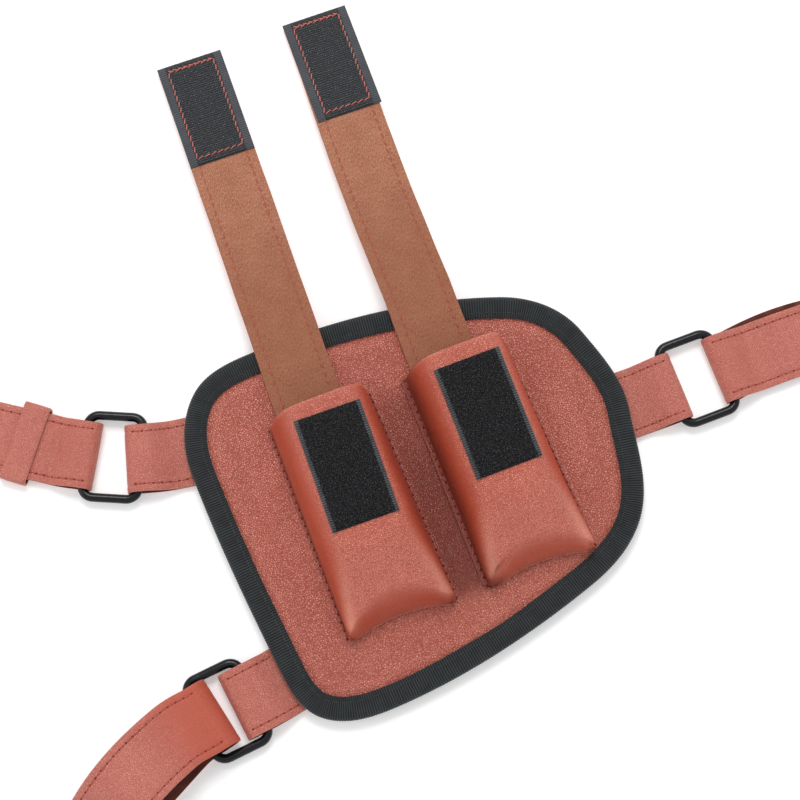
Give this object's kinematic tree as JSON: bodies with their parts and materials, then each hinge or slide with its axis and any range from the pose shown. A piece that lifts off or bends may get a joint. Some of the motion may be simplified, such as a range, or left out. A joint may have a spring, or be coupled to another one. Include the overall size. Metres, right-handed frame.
{
  "type": "breastplate",
  "caption": "Padded leather chest panel with a bound edge, open-topped pouches closed by fold-over hook-and-loop flaps, and folded harness straps on rectangular wire rings.",
  "frame": {"origin": "middle of the panel's flat back face, which lies against the chest", "axes": "+X across the pouches, +Y towards the pouch mouths, +Z out of the panel's front"},
  "size_m": [0.3591, 0.2906, 0.0306],
  "materials": {
    "leather": "satin, fine pebbled grain",
    "flap_fabric": "matte brushed fabric",
    "lining": "matte suede lining",
    "foam": "matte foam",
    "binding_tape": "matte ribbed tape",
    "hook_tape": "matte hook tape",
    "loop_tape": "matte brushed loop tape",
    "black_steel": "satin black coating"
  },
  "bodies": {
    "panel": {"panel_back_lining": "lining", "panel_foam_core": "foam", "panel_front_leather": "leather", "edge_binding": "binding_tape", "pouch_left_shell": "leather", "pouch_left_loop_tape": "loop_tape", "flap_left_tail_leather": "leather", "flap_left_tail_fabric": "flap_fabric", "pouch_right_shell": "leather", "pouch_right_loop_tape": "loop_tape", "flap_right_tail_leather": "leather", "flap_right_tail_fabric": "flap_fabric", "tab_left": "leather", "tab_right": "leather", "tab_lower": "leather"},
    "flap_left_bridge": {"flap_left_bridge_leather": "leather", "flap_left_bridge_fabric": "flap_fabric"},
    "flap_left_front": {"flap_left_front_leather": "leather", "flap_left_front_fabric": "flap_fabric", "flap_left_hook_tape": "hook_tape"},
    "flap_right_bridge": {"flap_right_bridge_leather": "leather", "flap_right_bridge_fabric": "flap_fabric"},
    "flap_right_front": {"flap_right_front_leather": "leather", "flap_right_front_fabric": "flap_fabric", "flap_right_hook_tape": "hook_tape"},
    "ring_left": {"ring_left": "black_steel"},
    "strap_left": {"strap_left": "leather", "keeper_left": "leather"},
    "ring_right": {"ring_right": "black_steel"},
    "strap_right": {"strap_right": "leather"},
    "ring_lower": {"ring_lower": "black_steel"},
    "strap_lower": {"strap_lower": "leather"}
  },
  "joints": [
    {"name": "ring_left_on_tab", "type": "hinge", "parent": "panel", "child": "ring_left", "pos_m": [-0.0973, 0.0495, 0.0035], "axis": [0.4099, 0.9121, 0], "range_deg": [-30, 80]},
    {"name": "strap_left_on_ring", "type": "hinge", "parent": "ring_left", "child": "strap_left", "pos_m": [-0.11664, 0.05819, 0.0035], "axis": [0.4099, 0.9121, 0], "range_deg": [-45, 45]},
    {"name": "ring_right_on_tab", "type": "hinge", "parent": "panel", "child": "ring_right", "pos_m": [0.0986, 0.004, 0.0035], "axis": [0, -1, 0], "range_deg": [-30, 80]},
    {"name": "strap_right_on_ring", "type": "hinge", "parent": "ring_right", "child": "strap_right", "pos_m": [0.1198, 0.004, 0.0035], "axis": [0, -1, 0], "range_deg": [-45, 45]},
    {"name": "ring_lower_on_tab", "type": "hinge", "parent": "panel", "child": "ring_lower", "pos_m": [-0.088, -0.0488, 0.0035], "axis": [-0.0906, 0.9959, 0], "range_deg": [-30, 80]},
    {"name": "strap_lower_on_ring", "type": "hinge", "parent": "ring_lower", "child": "strap_lower", "pos_m": [-0.10911, -0.05072, 0.0035], "axis": [-0.0906, 0.9959, 0], "range_deg": [-45, 45]},
    {"name": "flap_left_first_fold", "type": "hinge", "parent": "panel", "child": "flap_left_bridge", "pos_m": [-0.0306, 0.082, 0.0096], "axis": [0.9997, -0.0262, 0], "range_deg": [-4, 93.8]},
    {"name": "flap_left_second_fold", "type": "hinge", "parent": "flap_left_bridge", "child": "flap_left_front", "pos_m": [-0.03001, 0.10454, 0.0081], "axis": [0.9997, -0.0262, 0], "range_deg": [-4, 90]},
    {"name": "flap_right_first_fold", "type": "hinge", "parent": "panel", "child": "flap_right_bridge", "pos_m": [0.0223, 0.082, 0.0096], "axis": [0.9998, -0.0192, 0], "range_deg": [-4, 93.8]},
    {"name": "flap_right_second_fold", "type": "hinge", "parent": "flap_right_bridge", "child": "flap_right_front", "pos_m": [0.02273, 0.10455, 0.0081], "axis": [0.9998, -0.0192, 0], "range_deg": [-4, 90]}
  ]
}
